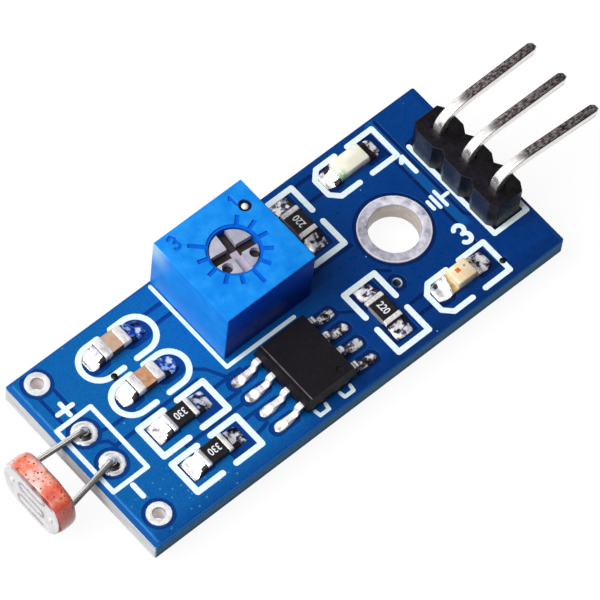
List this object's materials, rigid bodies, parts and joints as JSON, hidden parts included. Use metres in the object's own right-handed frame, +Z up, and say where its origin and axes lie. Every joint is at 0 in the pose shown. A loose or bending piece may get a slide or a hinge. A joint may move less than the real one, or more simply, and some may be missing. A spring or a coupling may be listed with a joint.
{
  "type": "light sensor module",
  "caption": "Small blue circuit board with a photoresistor on bent wires at one end, a square trimmer, a comparator chip and a right-angle pin header at the other.",
  "frame": {"origin": "below the middle of the whole module, at the level of the ends of the soldered tails that it stands on", "axes": "+X along the board from the photoresistor towards the header pins, +Y towards the board's edge that the trimmer stands at, +Z up out of the component side"},
  "size_m": [0.0418, 0.0136, 0.0073],
  "materials": {
    "board_blue": "blue solder mask, satin",
    "tinned_pad": "tinned copper, bright",
    "solder": "bright solder",
    "pin_plating": "bright plated wire",
    "header_plastic": "black moulded plastic, satin",
    "housing_blue": "blue moulded plastic, satin",
    "rotor_white": "greyish-white plastic, satin",
    "contact_metal": "rolled spring metal",
    "element_ceramic": "fired ceramic, matt",
    "chip_black": "black epoxy, matt",
    "cell_ceramic": "pale glazed face with a raised track",
    "cell_coating": "orange-red lacquer, speckled",
    "capacitor_brown": "fired ceramic, satin",
    "resistor_black": "black glaze",
    "lens_resin": "clear-cream cast resin"
  },
  "bodies": {
    "module": {"circuit_board": "board_blue", "mounting_hole_ring": "tinned_pad", "corner_pad_1": "tinned_pad", "corner_pad_2": "tinned_pad", "header_body": "header_plastic", "header_pin_1": "pin_plating", "header_solder_1": "solder", "header_pin_2": "pin_plating", "header_solder_2": "solder", "header_pin_3": "pin_plating", "header_solder_3": "solder", "photoresistor_coating": "cell_coating", "photoresistor_disc": "cell_ceramic", "photoresistor_lead_1": "pin_plating", "photoresistor_solder_1": "solder", "photoresistor_lead_2": "pin_plating", "photoresistor_solder_2": "solder", "trimmer_housing": "housing_blue", "trimmer_element_plate": "element_ceramic", "trimmer_pin_1": "pin_plating", "trimmer_solder_1": "solder", "trimmer_pin_2": "pin_plating", "trimmer_solder_2": "solder", "trimmer_pin_3": "pin_plating", "trimmer_solder_3": "solder", "comparator_body": "chip_black", "comparator_lead_1": "pin_plating", "comparator_lead_2": "pin_plating", "comparator_lead_3": "pin_plating", "comparator_lead_4": "pin_plating", "comparator_lead_5": "pin_plating", "comparator_lead_6": "pin_plating", "comparator_lead_7": "pin_plating", "comparator_lead_8": "pin_plating", "resistor_1_body": "resistor_black", "resistor_1_end_1": "solder", "resistor_1_end_2": "solder", "resistor_2_body": "resistor_black", "resistor_2_end_1": "solder", "resistor_2_end_2": "solder", "resistor_3_body": "resistor_black", "resistor_3_end_1": "solder", "resistor_3_end_2": "solder", "resistor_4_body": "resistor_black", "resistor_4_end_1": "solder", "resistor_4_end_2": "solder", "capacitor_1_body": "capacitor_brown", "capacitor_1_end_1": "solder", "capacitor_1_end_2": "solder", "capacitor_2_body": "capacitor_brown", "capacitor_2_end_1": "solder", "capacitor_2_end_2": "solder", "led_1_body": "lens_resin", "led_1_end_1": "solder", "led_1_end_2": "solder", "led_2_body": "lens_resin", "led_2_end_1": "solder", "led_2_end_2": "solder"},
    "rotor": {"trimmer_rotor": "rotor_white", "trimmer_wiper": "contact_metal"}
  },
  "joints": [
    {"name": "trimmer_turn", "type": "hinge", "parent": "module", "child": "rotor", "pos_m": [-0.00262, 0.00337, 0.0045], "axis": [0, 0, 1], "range_deg": [-120, 120]}
  ]
}
